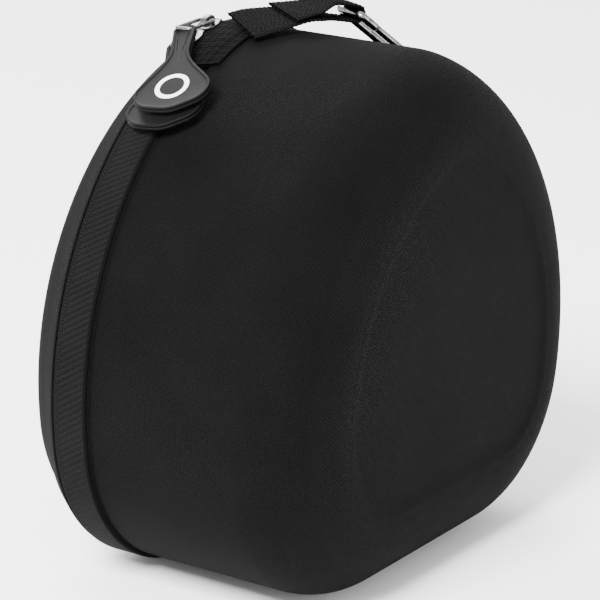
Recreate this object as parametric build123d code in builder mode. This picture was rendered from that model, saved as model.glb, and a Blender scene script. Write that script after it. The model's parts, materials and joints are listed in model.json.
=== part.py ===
from build123d import *
import os
from math import acos, asin, cos, degrees, radians, sin, tan

# Hard-shell headphone carrying case: a deep front half and a shallow lid, joined by a
# fabric hinge along the flat bottom and closed by a two-slider zipper round the rest.
# X runs across the case, the front face looks along -Y, the lid is at +Y and Z is up.
# The origin is the middle of the case's footprint, level with the bottom of the zipper ring.

os.makedirs("parts", exist_ok=True)

# ---- driving dimensions, in millimetres and degrees ----------------------------------------
case_width = 209.0
case_height = 196.5
front_depth = 105.0         # zipper slit to the front face
lid_depth = 24.0            # zipper slit to the back of the lid

# the D-shaped outline: a crown arc, two flank arcs, two corner arcs and a flat bottom
crown_radius = 62.0
crown_angle = 20.0          # half of the crown arc
corner_radius = 65.0

# the two moulded shells
front_round = 30.0          # between the side wall and the front face
lid_round = 24.0
lid_taper = 35.0            # how far the lid's rim leans inwards
cover_wall = 1.6            # laminated outer fabric
foam_wall = 4.0             # moulded EVA
lining_wall = 1.0
panel_margin = 3.0          # from the end of the front rounding to the pressed panel
panel_recess = 1.0
rim_gap = 5.0               # slit to the rim of each shell, where the slider runs

# the zipper
slit = 0.8
tape_wall = 1.5             # the tapes stand this much proud of the shells
front_tape_width = 14.0
lid_tape_width = 6.6
coil_wall = 2.2
coil_width = 2.1
coil_setback = 0.3          # coil to the middle of the slit
binding_wall = 1.6
binding_inset = 5.8         # ring outline to the inner binding
hinge_past_flat = 6.0       # how far the fabric hinge runs past the flat bottom
stop_length = 4.0

# the sliders and their pulls
slider_length = 11.0
slider_half_width = 4.6
slider_plate = 1.4
slider_play = 0.2           # plate to tape
foot_half_width = 2.9       # the plate under the coils
foot_play = 0.3
slider_web = 0.5
web_length = 4.0
bridge_length = 6.0
bridge_window = 1.7
bridge_bar = 0.9
bridge_width = 2.4
left_slider_angle = 21.0    # from straight up, about the left flank's centre
right_slider_angle = 10.4   # from straight up, about the crown's centre
link_wire = 0.7             # radius
link_bend = 1.1
link_gap = 4.6              # between the link's rails
left_link_length = 9.0
right_link_length = 19.0
left_link_drop = 21.0       # below level
right_link_drop = 0.0
link_slant = 8.0            # towards the front, seen from above
puller_length = 46.0
puller_wall = 2.4
puller_neck = 8.6
puller_bulb = 28.0
puller_slant = 27.0
puller_drop = 28.0          # below level, both pulls, one lying over the other
puller_facing = 37.0        # the paddles face this far to the left of straight up

# the clip strap and its spring clip
strap_root = (-12.0, 15.5)  # across the case, and in front of the slit
strap_slant = 27.0          # towards the front, seen from above
strap_width = 22.0
strap_end_width = 12.0
strap_taper_start = 27.0    # along the strap
strap_taper_end = 38.0
strap_wall = 1.6
strap_root_rise = 2.4       # middle of the strap above the ring at its root
anchor_wall = 1.4
anchor_length = 10.5
anchor_angle = 15.0
anchor_start = 5.4          # in front of the slit
anchor_end = 26.0
anchor_play = 0.05
clip_rod = 1.6              # radius
clip_bend = 1.9
clip_width = 16.0           # between the rods' middles
clip_length = 33.0
clip_drop = 38.0            # below level
gate_start = 8.0            # along the clip
gate_end = 24.0
gate_rod = 1.4              # radius
gate_play = 0.7

# the inside
pillar_width = 52.0
pillar_height = 86.0        # above the bottom of the ring
pillar_depth = 50.0
pillar_round = 16.0
pocket_height = 112.0
pocket_setback = 6.0        # slit to the mesh pocket
mesh_wall = 0.8
hem_height = 8.0
hem_wall = 2.0

# ---- derived places --------------------------------------------------------------------------
seam_y = (front_depth - lid_depth) / 2
crown_z = case_height - crown_radius
crown_sine = sin(radians(crown_angle))
flank_radius = (case_width / 2 - crown_radius * crown_sine) / (1 - crown_sine)
flank_x = (flank_radius - crown_radius) * crown_sine
flank_z = crown_z - (flank_radius - crown_radius) * cos(radians(crown_angle))
corner_reach = flank_radius - corner_radius
flank_end = degrees(acos((corner_radius - flank_z) / corner_reach))
corner_x = corner_reach * sin(radians(flank_end)) - flank_x
hinge_half = corner_x + hinge_past_flat
shell_wall = cover_wall + foam_wall + lining_wall
hinge_block = (2 * hinge_half, 4 * front_tape_width, 2 * (tape_wall + coil_wall + rim_gap))


# ---- shared shapes ---------------------------------------------------------------------------
def section(y):
    """Sketch plane across the case at y, looking out of the front."""
    return Plane.XZ.offset(-y)


def back_section(y):
    """Sketch plane across the case at y, looking out of the back."""
    return Plane(origin=(0, y, 0), x_dir=(-1, 0, 0), z_dir=(0, 1, 0))


def case_outline(inset, mode=Mode.ADD):
    """The case's outline, drawn in by inset all round."""
    with BuildLine() as line:
        CenterArc((0, crown_z), crown_radius - inset, 90 - crown_angle, 2 * crown_angle)
        for side, start in ((-1, 90 - flank_end), (1, 90 + crown_angle)):
            centre = (side * flank_x, flank_z)
            CenterArc(centre, flank_radius - inset, start, flank_end - crown_angle)
        for side, start in ((1, -90), (-1, 90 + flank_end)):
            centre = (side * corner_x, corner_radius)
            CenterArc(centre, corner_radius - inset, start, 180 - flank_end)
        Line((-corner_x, inset), (corner_x, inset))
    make_face(line.edges(), mode=mode)


def front_block(depth_in):
    """The front half as a solid, depth_in below its outer skin."""
    with BuildPart() as block:
        with BuildSketch(section(seam_y - rim_gap)):
            case_outline(tape_wall + depth_in)
        extrude(amount=front_depth - rim_gap - depth_in)
        fillet(block.faces().sort_by(Axis.Y)[0].edges(), front_round - depth_in)
    return block.part


def lid_slab(inset, start, stop):
    """A slice of the lid's leaning rim, from start to stop behind the slit."""
    lean = tan(radians(lid_taper))
    with BuildPart() as slab:
        with BuildSketch(back_section(seam_y + start)):
            case_outline(inset + start * lean)
        extrude(amount=stop - start, taper=lid_taper)
    return slab.part


def lid_block(depth_in):
    """The lid as a solid, depth_in below its outer skin."""
    inset = tape_wall + depth_in / cos(radians(lid_taper))
    with BuildPart() as block:
        add(lid_slab(inset, rim_gap, lid_depth - depth_in))
        fillet(block.faces().sort_by(Axis.Y)[-1].edges(), lid_round - depth_in)
    return block.part


def arc_face(centre, inner, outer, angle, length, mode=Mode.ADD):
    """Part of a ring about centre, length long and centred on angle from straight up."""
    half = degrees(length / 2 / outer)
    start = 90 + angle - half
    with BuildLine() as line:
        low = CenterArc(centre, inner, start, 2 * half)
        high = CenterArc(centre, outer, start, 2 * half)
        Line(low @ 0, high @ 0)
        Line(low @ 1, high @ 1)
    make_face(line.edges(), mode=mode)


def arc_block(centre, inner, outer, angle, length, half_width):
    """An arc_face given a thickness both ways from the slit."""
    with BuildPart() as block:
        with BuildSketch(section(seam_y)):
            arc_face(centre, inner, outer, angle, length)
        extrude(amount=half_width, both=True)
    return block.part


def slider_body(centre, radius, angle):
    """Two plates joined through the slit, with a bridge on top for the pull's link."""
    coil_lean = (coil_setback + coil_width) * tan(radians(lid_taper))
    low = radius - tape_wall - coil_wall - coil_lean - foot_play
    top = radius + slider_play
    bridge_base = top + slider_plate
    window_top = bridge_base + bridge_window
    bridge_top = window_top + bridge_bar
    with BuildPart() as body:
        add(arc_block(centre, top, bridge_base, angle, slider_length, slider_half_width))
        add(arc_block(centre, low - slider_plate, low, angle, slider_length, foot_half_width))
        add(arc_block(centre, low, top, angle, web_length, slider_web / 2))
        add(arc_block(centre, bridge_base, bridge_top, angle, bridge_length, bridge_width / 2))
        window = bridge_length - 2 * bridge_bar
        cut = arc_block(centre, bridge_base, window_top, angle, window, bridge_width)
        add(cut, mode=Mode.SUBTRACT)
    return body.part


def pivot_point(centre, radius, angle):
    """Where a link's bar lies in the window of a slider's bridge."""
    reach = radius + slider_play + slider_plate + bridge_window / 2
    x = centre[0] - reach * sin(radians(angle))
    z = centre[1] + reach * cos(radians(angle))
    return Vector(x, seam_y, z)


def lying_direction(drop, slant):
    """The way a pull lies from its pivot: to the left, leaning to the front, drop below level."""
    level = cos(radians(drop))
    return Vector(-level * cos(radians(slant)), -level * sin(radians(slant)), -sin(radians(drop)))


def lying_plane(origin, direction, facing):
    """A plane with X along direction, facing as nearly as it can along facing."""
    return Plane(origin=origin, x_dir=direction, z_dir=facing - direction * facing.dot(direction))


def facing_left(angle):
    """Outwards from the case's outline, angle to the left of straight up."""
    return Vector(-sin(radians(angle)), 0, cos(radians(angle)))


def wire_loop(plane, length, width, wire, bend):
    """A rectangular loop of round wire, lying from the plane's origin along its X."""
    with BuildSketch(plane) as loop:
        with Locations((length / 2, 0)):
            RectangleRounded(length, width, bend)
    path = loop.sketch.wire()
    with BuildPart() as ring:
        with BuildSketch(Plane(origin=path @ 0, z_dir=path % 0)):
            Circle(wire)
        sweep(path=path)
    return ring.part


def puller_outline():
    """A narrow neck that widens to a rounded paddle."""
    neck = puller_neck / 2
    bulb = puller_bulb / 2
    widest = 0.72 * puller_length
    heel = 0.95 * puller_length
    with BuildLine() as line:
        for side in (1, -1):
            Line((0, 0), (0, side * neck))
            Line((0, side * neck), (0.3 * puller_length, 0.84 * side * neck))
            Spline((0.3 * puller_length, 0.84 * side * neck), (widest, side * bulb),
                   tangents=((1, 0), (1, side * 0.5)))
            Spline((widest, side * bulb), (heel, side * 0.62 * bulb),
                   tangents=((1, side * 0.5), (0.3, -side)))
            Spline((heel, side * 0.62 * bulb), (puller_length, 0),
                   tangents=((0.3, -side), (0, -side)))
    make_face(line.edges())


def puller(plane):
    """The soft pull, moulded round the far end of its link."""
    with BuildPart() as pull:
        with BuildSketch(plane):
            puller_outline()
        extrude(amount=puller_wall / 2, both=True)
    return pull.part


# ---- front half ------------------------------------------------------------------------------
front_skin = front_block(0)
front_core = front_block(cover_wall)
front_inside = front_block(cover_wall + foam_wall)
front_room = front_block(shell_wall)

with BuildPart() as front_cover:
    add(front_skin)
    add(front_core, mode=Mode.SUBTRACT)
    with BuildSketch(section(seam_y - front_depth)):
        case_outline(tape_wall + front_round + panel_margin)
    extrude(amount=-panel_recess, mode=Mode.SUBTRACT)
front_cover.part.label = "front_cover"
export_step(front_cover.part, "parts/front_cover.step")

with BuildPart() as front_foam:
    add(front_core)
    add(front_inside, mode=Mode.SUBTRACT)
front_foam.part.label = "front_foam"
export_step(front_foam.part, "parts/front_foam.step")

with BuildPart() as front_lining:
    add(front_inside)
    add(front_room, mode=Mode.SUBTRACT)
front_lining.part.label = "front_lining"
export_step(front_lining.part, "parts/front_lining.step")

with BuildPart() as front_binding:
    with BuildSketch(section(seam_y - rim_gap + binding_wall)):
        case_outline(binding_inset)
        case_outline(tape_wall + shell_wall, Mode.SUBTRACT)
    extrude(amount=binding_wall)
front_binding.part.label = "front_binding"
export_step(front_binding.part, "parts/front_binding.step")

# ---- lid -------------------------------------------------------------------------------------
lid_skin = lid_block(0)
lid_core = lid_block(cover_wall)
lid_inside = lid_block(cover_wall + foam_wall)
lid_room = lid_block(shell_wall)

with BuildPart() as lid_cover:
    add(lid_skin)
    add(lid_core, mode=Mode.SUBTRACT)
lid_cover.part.label = "lid_cover"
export_step(lid_cover.part, "parts/lid_cover.step")

with BuildPart() as lid_foam:
    add(lid_core)
    add(lid_inside, mode=Mode.SUBTRACT)
lid_foam.part.label = "lid_foam"
export_step(lid_foam.part, "parts/lid_foam.step")

with BuildPart() as lid_lining:
    add(lid_inside)
    add(lid_room, mode=Mode.SUBTRACT)
lid_lining.part.label = "lid_lining"
export_step(lid_lining.part, "parts/lid_lining.step")

lid_rim_inset = tape_wall + rim_gap * tan(radians(lid_taper))
lid_rim_wall = shell_wall / cos(radians(lid_taper))
with BuildPart() as lid_binding:
    with BuildSketch(back_section(seam_y + rim_gap - binding_wall)):
        case_outline(max(binding_inset, lid_rim_inset + cover_wall))
        case_outline(lid_rim_inset + lid_rim_wall, Mode.SUBTRACT)
    extrude(amount=binding_wall)
lid_binding.part.label = "lid_binding"
export_step(lid_binding.part, "parts/lid_binding.step")

# ---- zipper tapes, coils and the fabric hinge ------------------------------------------------
with BuildPart() as front_band:
    with BuildSketch(section(seam_y - slit / 2)):
        case_outline(0)
        case_outline(tape_wall, Mode.SUBTRACT)
    extrude(amount=front_tape_width)

with BuildPart() as lid_band:
    add(lid_slab(0, slit / 2, lid_tape_width))
    add(lid_slab(tape_wall, slit / 2, lid_tape_width), mode=Mode.SUBTRACT)

with BuildPart() as front_zip_tape:
    add(front_band.part)
    with Locations((0, seam_y, 0)):
        Box(*hinge_block, mode=Mode.SUBTRACT)
front_zip_tape.part.label = "front_zip_tape"
export_step(front_zip_tape.part, "parts/front_zip_tape.step")

with BuildPart() as hinge_strip_front:
    add(front_band.part)
    with Locations((0, seam_y, 0)):
        Box(*hinge_block, mode=Mode.INTERSECT)
hinge_strip_front.part.label = "hinge_strip_front"
export_step(hinge_strip_front.part, "parts/hinge_strip_front.step")

with BuildPart() as lid_zip_tape:
    add(lid_band.part)
    with Locations((0, seam_y, 0)):
        Box(*hinge_block, mode=Mode.SUBTRACT)
lid_zip_tape.part.label = "lid_zip_tape"
export_step(lid_zip_tape.part, "parts/lid_zip_tape.step")

with BuildPart() as hinge_strip_back:
    add(lid_band.part)
    with Locations((0, seam_y, 0)):
        Box(*hinge_block, mode=Mode.INTERSECT)
hinge_strip_back.part.label = "hinge_strip_back"
export_step(hinge_strip_back.part, "parts/hinge_strip_back.step")

coil_gap = (hinge_block[0] + 2 * stop_length, hinge_block[1], hinge_block[2])
with BuildPart() as front_coil:
    with BuildSketch(section(seam_y - coil_setback)):
        case_outline(tape_wall)
        case_outline(tape_wall + coil_wall, Mode.SUBTRACT)
    extrude(amount=coil_width)
    with Locations((0, seam_y, 0)):
        Box(*coil_gap, mode=Mode.SUBTRACT)
front_coil.part.label = "front_coil"
export_step(front_coil.part, "parts/front_coil.step")

lid_coil_end = coil_setback + coil_width
with BuildPart() as lid_coil:
    add(lid_slab(tape_wall, coil_setback, lid_coil_end))
    add(lid_slab(tape_wall + coil_wall, coil_setback, lid_coil_end), mode=Mode.SUBTRACT)
    with Locations((0, seam_y, 0)):
        Box(*coil_gap, mode=Mode.SUBTRACT)
lid_coil.part.label = "lid_coil"
export_step(lid_coil.part, "parts/lid_coil.step")

stop_angle = degrees(asin((hinge_half + stop_length / 2 - corner_x) / corner_radius))
with BuildPart() as zipper_end_stops:
    for side in (1, -1):
        with BuildSketch(section(seam_y - coil_setback)):
            centre = (side * corner_x, corner_radius)
            arc_face(centre, corner_radius - tape_wall - coil_wall, corner_radius - tape_wall,
                     180 + side * stop_angle, stop_length - coil_setback)
        extrude(amount=coil_width)
zipper_end_stops.part.label = "zipper_end_stops"
export_step(zipper_end_stops.part, "parts/zipper_end_stops.step")

# ---- sliders and pulls -----------------------------------------------------------------------
flank_centre = (flank_x, flank_z)
crown_centre = (0, crown_z)
with BuildPart() as slider_left:
    add(slider_body(flank_centre, flank_radius, left_slider_angle))
slider_left.part.label = "slider_left"
export_step(slider_left.part, "parts/slider_left.step")

with BuildPart() as slider_right:
    add(slider_body(crown_centre, crown_radius, right_slider_angle))
slider_right.part.label = "slider_right"
export_step(slider_right.part, "parts/slider_right.step")

left_pivot = pivot_point(flank_centre, flank_radius, left_slider_angle)
right_pivot = pivot_point(crown_centre, crown_radius, right_slider_angle)
left_link_way = lying_direction(left_link_drop, link_slant)
right_link_way = lying_direction(right_link_drop, link_slant)
left_link_plane = lying_plane(left_pivot, left_link_way, facing_left(left_slider_angle))
right_link_plane = lying_plane(right_pivot, right_link_way, facing_left(right_slider_angle))
link_width = link_gap + 2 * link_wire

with BuildPart() as pull_link_left:
    add(wire_loop(left_link_plane, left_link_length, link_width, link_wire, link_bend))
pull_link_left.part.label = "pull_link_left"
export_step(pull_link_left.part, "parts/pull_link_left.step")

with BuildPart() as pull_link_right:
    add(wire_loop(right_link_plane, right_link_length, link_width, link_wire, link_bend))
pull_link_right.part.label = "pull_link_right"
export_step(pull_link_right.part, "parts/pull_link_right.step")

# each pull is moulded round the far bar of its link
link_cover = 3 * link_wire
puller_way = lying_direction(puller_drop, puller_slant)
paddle_facing = facing_left(puller_facing)
left_neck = left_pivot + left_link_way * (left_link_length - link_cover)
right_neck = right_pivot + right_link_way * (right_link_length - link_cover)

with BuildPart() as puller_left:
    add(puller(lying_plane(left_neck, puller_way, paddle_facing)))
    add(pull_link_left.part, mode=Mode.SUBTRACT)
puller_left.part.label = "puller_left"
export_step(puller_left.part, "parts/puller_left.step")

with BuildPart() as puller_right:
    add(puller(lying_plane(right_neck, puller_way, paddle_facing)))
    add(pull_link_right.part, mode=Mode.SUBTRACT)
puller_right.part.label = "puller_right"
export_step(puller_right.part, "parts/puller_right.step")

# ---- clip strap ------------------------------------------------------------------------------
strap_way = Vector(cos(radians(strap_slant)), -sin(radians(strap_slant)), 0)
strap_across = Vector(sin(radians(strap_slant)), cos(radians(strap_slant)), 0)
root_x = strap_root[0]
root_z = crown_z + (crown_radius ** 2 - root_x ** 2) ** 0.5 + strap_root_rise
root_point = Vector(root_x, seam_y - strap_root[1], root_z)
strap_plane = Plane(origin=root_point, x_dir=strap_way, z_dir=strap_way.cross(Vector(0, 0, 1)))

# the webbing rises from its root, turns round the clip's bar and lies back on itself
strap_points = [(0, 0), (6, 3.2), (24, 4.1), (47.5, -1.2), (50.2, 3.8), (38, 7.8), (27, 7.8), (19.5, 6.1)]
strap_bends = [12, 30, 2.4, 2.4, 14, 20]
bar_place = (46.2, 1.8)

with BuildPart() as clip_strap:
    with BuildSketch(strap_plane):
        with BuildLine() as route:
            FilletPolyline(*strap_points, radius=strap_bends)
            offset(amount=strap_wall / 2, side=Side.BOTH)
        make_face()
    extrude(amount=strap_width / 2, both=True)
    level_plane = Plane(origin=root_point, x_dir=strap_way, z_dir=(0, 0, 1))
    with BuildSketch(level_plane):
        for side in (1, -1):
            full = side * strap_width / 2
            narrow = side * strap_end_width / 2
            taper_line = [(strap_taper_start, full), (strap_taper_end, narrow), (2 * strap_taper_end, narrow)]
            waste_corners = [(2 * strap_taper_end, 2 * full), (strap_taper_start, 2 * full)]
            with BuildLine():
                Polyline(*taper_line, *waste_corners, close=True)
            make_face()
    extrude(amount=strap_width, both=True, mode=Mode.SUBTRACT)
clip_strap.part.label = "clip_strap"
export_step(clip_strap.part, "parts/clip_strap.step")

with BuildPart() as strap_anchor:
    for inner, start in ((crown_radius + anchor_play, anchor_start),
                         (crown_radius - tape_wall + anchor_play, front_tape_width + slit)):
        with BuildSketch(section(seam_y - start)):
            arc_face(crown_centre, inner, crown_radius + anchor_wall, anchor_angle, anchor_length)
        extrude(amount=anchor_end - start)
strap_anchor.part.label = "strap_anchor"
export_step(strap_anchor.part, "parts/strap_anchor.step")

bar_point = strap_plane.from_local_coords(Vector(*bar_place, 0))
clip_way = strap_way * cos(radians(clip_drop)) - Vector(0, 0, sin(radians(clip_drop)))
clip_plane = Plane(origin=bar_point, x_dir=clip_way, z_dir=clip_way.cross(strap_across))
gate_middle = (gate_start + gate_end) / 2
gate_length = gate_end - gate_start
clip_ring = wire_loop(clip_plane, clip_length, clip_width, clip_rod, clip_bend)

with BuildPart() as clip_body:
    add(clip_ring)
    with BuildSketch(clip_plane):
        with Locations((gate_middle, -clip_width / 2)):
            Rectangle(gate_length, 4 * clip_rod)
    extrude(amount=2 * clip_rod, both=True, mode=Mode.SUBTRACT)
clip_body.part.label = "clip_body"
export_step(clip_body.part, "parts/clip_body.step")

gate_foot = clip_plane.from_local_coords(Vector(gate_start + gate_play, -clip_width / 2, 0))
with BuildPart() as clip_gate:
    with BuildSketch(Plane(origin=gate_foot, z_dir=clip_way)):
        Circle(gate_rod)
    extrude(amount=gate_length - 2 * gate_play)
clip_gate.part.label = "clip_gate"
export_step(clip_gate.part, "parts/clip_gate.step")

# ---- inside ----------------------------------------------------------------------------------
with BuildPart() as centre_pillar:
    pillar_front = seam_y - front_depth
    with Locations((0, pillar_front + pillar_depth / 2, pillar_height / 2)):
        Box(pillar_width, pillar_depth, pillar_height)
    fillet(centre_pillar.edges().group_by(Axis.Y)[-1], pillar_round)
    add(front_room, mode=Mode.INTERSECT)
centre_pillar.part.label = "centre_pillar"
export_step(centre_pillar.part, "parts/centre_pillar.step")

pocket_inset = tape_wall + shell_wall / cos(radians(lid_taper))
with BuildPart() as mesh_pocket:
    add(lid_slab(pocket_inset, pocket_setback, pocket_setback + mesh_wall))
    with Locations((0, seam_y + pocket_setback, pocket_height / 2)):
        Box(case_width, 4 * hem_wall, pocket_height, mode=Mode.INTERSECT)
mesh_pocket.part.label = "mesh_pocket"
export_step(mesh_pocket.part, "parts/mesh_pocket.step")

hem_start = pocket_setback + (mesh_wall - hem_wall) / 2
with BuildPart() as pocket_hem:
    add(lid_slab(pocket_inset, hem_start, hem_start + hem_wall))
    with Locations((0, seam_y + pocket_setback, pocket_height + hem_height / 2)):
        Box(case_width, 4 * hem_wall, hem_height, mode=Mode.INTERSECT)
pocket_hem.part.label = "pocket_hem"
export_step(pocket_hem.part, "parts/pocket_hem.step")

print("outline: flank radius %.2f, flank end %.2f, flat half %.2f" % (flank_radius, flank_end, corner_x))
print("flank centre x %.2f z %.2f, crown centre z %.2f, seam y %.2f" % (flank_x, flank_z, crown_z, seam_y))
print("left pivot", left_pivot, "axis", -left_link_plane.y_dir)
print("right pivot", right_pivot, "axis", -right_link_plane.y_dir)
print("strap root", root_point, "axis", -strap_across)
print("clip bar", bar_point, "gate foot", gate_foot, "gate axis", clip_plane.z_dir)
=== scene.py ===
import json
import math

import bpy
from bpy.props import FloatProperty, FloatVectorProperty, PointerProperty
from mathutils import Matrix, Vector


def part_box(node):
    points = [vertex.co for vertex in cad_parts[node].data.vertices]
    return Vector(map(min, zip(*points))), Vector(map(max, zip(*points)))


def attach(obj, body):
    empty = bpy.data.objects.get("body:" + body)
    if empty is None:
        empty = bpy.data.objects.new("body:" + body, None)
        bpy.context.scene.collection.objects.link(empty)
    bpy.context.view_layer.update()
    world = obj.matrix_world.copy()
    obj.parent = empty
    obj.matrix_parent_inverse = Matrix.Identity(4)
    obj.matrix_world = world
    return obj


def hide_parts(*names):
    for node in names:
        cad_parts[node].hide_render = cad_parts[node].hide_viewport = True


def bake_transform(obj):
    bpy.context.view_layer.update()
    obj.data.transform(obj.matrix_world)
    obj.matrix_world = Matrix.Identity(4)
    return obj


# A zipped hard-shell headphone case: woven covers over two moulded shells, zipper tapes and
# coils round the slit, two sliders with soft pulls, a webbing strap with a wire clip, and a
# lined inside with a pillar and a mesh pocket. Lengths are in millimetres until they are
# placed, and MM turns them into metres.

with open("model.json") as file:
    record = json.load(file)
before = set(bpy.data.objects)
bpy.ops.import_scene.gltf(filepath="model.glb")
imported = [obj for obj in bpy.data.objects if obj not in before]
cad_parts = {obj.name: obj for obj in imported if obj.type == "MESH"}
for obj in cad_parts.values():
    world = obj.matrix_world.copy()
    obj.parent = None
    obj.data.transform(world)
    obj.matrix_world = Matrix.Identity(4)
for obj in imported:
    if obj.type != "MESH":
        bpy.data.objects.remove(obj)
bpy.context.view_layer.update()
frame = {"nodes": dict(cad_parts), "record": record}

bl_info = {
    "name": "Headphone case",
    "version": (1, 0, 0),
    "blender": (4, 5, 0),
    "location": "View3D > Sidebar > Case",
    "description": "Builds the covers, zipper, pulls, strap and inside of a headphone case",
    "category": "Add Mesh",
}

MM = 0.001
RING_LOW, RING_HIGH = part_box("front_zip_tape")
CASE_WIDTH = (RING_HIGH[0] - RING_LOW[0]) / MM
SEAM_Y = RING_HIGH[1] / MM + 0.4          # middle of the zipper slit
FRONT_DEPTH = SEAM_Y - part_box("front_cover")[0][1] / MM
LID_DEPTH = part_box("lid_cover")[1][1] / MM - SEAM_Y
CROWN_RADIUS = 62.0
CROWN_ANGLE = 20.0
CORNER_RADIUS = 65.0
CASE_HEIGHT = 196.5
TAPE_WALL = 1.5
FRONT_ROUND = 30.0
LID_ROUND = 24.0
LID_LEAN = math.radians(35.0)
COVER_WALL = 1.6
COVER_RIM = 5.0                            # from the slit to the edge of each shell
FAN_HEIGHT = 0.62                          # height of a face's middle, as a share of the crown's centre


# ---- sizes and colours that a user may change -------------------------------------------------
class CaseSizes(bpy.types.PropertyGroup):
    groove_depth: FloatProperty(
        name="Groove depth", description="Depth of the groove beside the tape, mm",
        default=1.4)
    panel_recess: FloatProperty(
        name="Panel recess", description="Depth of the pressed front panel, mm",
        default=0.7)
    panel_bead: FloatProperty(
        name="Panel bead", description="Height of the bead round the front panel, mm",
        default=0.25)
    stitch_pitch: FloatProperty(
        name="Stitch pitch", description="Distance between tape stitches, mm",
        default=1.25)
    coil_pitch: FloatProperty(
        name="Coil pitch", description="Distance between coil turns, mm",
        default=1.3)
    rib_pitch: FloatProperty(
        name="Rib pitch", description="Distance between webbing ribs, mm",
        default=1.9)


class CaseColours(bpy.types.PropertyGroup):
    cover: FloatVectorProperty(
        name="Cover", description="Woven cover",
        subtype="COLOR", default=(0.0021, 0.0021, 0.0021))
    lid: FloatVectorProperty(
        name="Lid", description="Lid cover",
        subtype="COLOR", default=(0.0022, 0.0022, 0.0022))
    tape: FloatVectorProperty(
        name="Tape", description="Zipper tape",
        subtype="COLOR", default=(0.0034, 0.0034, 0.0034))
    webbing: FloatVectorProperty(
        name="Webbing", description="Strap webbing",
        subtype="COLOR", default=(0.0030, 0.0030, 0.0030))
    pull: FloatVectorProperty(
        name="Pull", description="Soft pulls",
        subtype="COLOR", default=(0.0018, 0.0018, 0.0018))
    lining: FloatVectorProperty(
        name="Lining", description="Inner lining",
        subtype="COLOR", default=(0.010, 0.010, 0.011))
    metal: FloatVectorProperty(
        name="Metal", description="Sliders and clip",
        subtype="COLOR", default=(0.11, 0.11, 0.115))


def sizes():
    return bpy.context.scene.case_sizes


def colours():
    return bpy.context.scene.case_colours


# ---- the outline ------------------------------------------------------------------------------
CROWN_Z = CASE_HEIGHT - CROWN_RADIUS
CROWN_SINE = math.sin(math.radians(CROWN_ANGLE))
FLANK_RADIUS = (CASE_WIDTH / 2 - CROWN_RADIUS * CROWN_SINE) / (1 - CROWN_SINE)
FLANK_X = (FLANK_RADIUS - CROWN_RADIUS) * CROWN_SINE
FLANK_Z = CROWN_Z - (FLANK_RADIUS - CROWN_RADIUS) * math.cos(math.radians(CROWN_ANGLE))
CORNER_REACH = FLANK_RADIUS - CORNER_RADIUS
FLANK_END = math.degrees(math.acos((CORNER_RADIUS - FLANK_Z) / CORNER_REACH))
CORNER_X = CORNER_REACH * math.sin(math.radians(FLANK_END)) - FLANK_X

ARCS = [
    (CORNER_X, CORNER_RADIUS, CORNER_RADIUS, -90, 180 - FLANK_END),
    (-FLANK_X, FLANK_Z, FLANK_RADIUS, 90 - FLANK_END, FLANK_END - CROWN_ANGLE),
    (0, CROWN_Z, CROWN_RADIUS, 90 - CROWN_ANGLE, 2 * CROWN_ANGLE),
    (FLANK_X, FLANK_Z, FLANK_RADIUS, 90 + CROWN_ANGLE, FLANK_END - CROWN_ANGLE),
    (-CORNER_X, CORNER_RADIUS, CORNER_RADIUS, 90 + FLANK_END, 180 - FLANK_END),
]
ARC_LENGTHS = [math.radians(sweep) * radius for _, _, radius, _, sweep in ARCS]
PERIMETER = 2 * CORNER_X + sum(ARC_LENGTHS)


def outline(t, inset):
    """The point at share t round the outline from the middle of the flat bottom, drawn in by inset."""
    along = (t % 1.0) * PERIMETER
    if along <= CORNER_X:
        return along, inset
    if along >= PERIMETER - CORNER_X:
        return along - PERIMETER, inset
    along -= CORNER_X
    for (cx, cz, radius, start, sweep), length in zip(ARCS, ARC_LENGTHS):
        if along <= length:
            angle = math.radians(start + sweep * along / length)
            return cx + (radius - inset) * math.cos(angle), cz + (radius - inset) * math.sin(angle)
        along -= length
    return -CORNER_X, inset


def at_depth(t, inset, depth):
    """A place on the case: depth in front of the slit, or behind it if negative."""
    x, z = outline(t, inset)
    return Vector((x, SEAM_Y - depth, z)) * MM


def smooth(x):
    x = min(max(x, 0.0), 1.0)
    return x * x * (3 - 2 * x)


# ---- modelling helpers ------------------------------------------------------------------------
def clear_selection():
    if bpy.context.object and bpy.context.object.mode != "OBJECT":
        bpy.ops.object.mode_set(mode="OBJECT")
    bpy.ops.object.select_all(action="DESELECT")


def tidy_mesh(piece, merge=0.00001):
    """Merges doubles and turns the normals outwards."""
    clear_selection()
    piece.select_set(True)
    bpy.context.view_layer.objects.active = piece
    bpy.ops.object.mode_set(mode="EDIT")
    bpy.ops.mesh.select_all(action="SELECT")
    bpy.ops.mesh.remove_doubles(threshold=merge)
    bpy.ops.mesh.normals_make_consistent(inside=False)
    bpy.ops.object.mode_set(mode="OBJECT")
    bpy.ops.object.shade_smooth()
    return piece


def wrapped_grid(name, around, along, place, length, width, merge=0.00001):
    """A grid laid on a surface: place(u, v) is each vertex's point, and the UV map is in metres."""
    clear_selection()
    bpy.ops.mesh.primitive_grid_add(x_subdivisions=around, y_subdivisions=along, size=2)
    piece = bpy.context.object
    piece.name = name
    piece.data.name = name
    for vertex in piece.data.vertices:
        vertex.co = place((vertex.co.x + 1) / 2, (vertex.co.y + 1) / 2)
    for corner in piece.data.uv_layers.active.data:
        corner.uv = (corner.uv.x * length * MM, corner.uv.y * width * MM)
    return tidy_mesh(piece, merge)


def along_path(path, v):
    """The point at share v of a list of points."""
    place = v * (len(path) - 1)
    index = min(int(place), len(path) - 2)
    part = place - index
    return [a + (b - a) * part for a, b in zip(path[index], path[index + 1])]


def path_length(path):
    return sum(math.dist(a, b) for a, b in zip(path, path[1:]))


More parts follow.
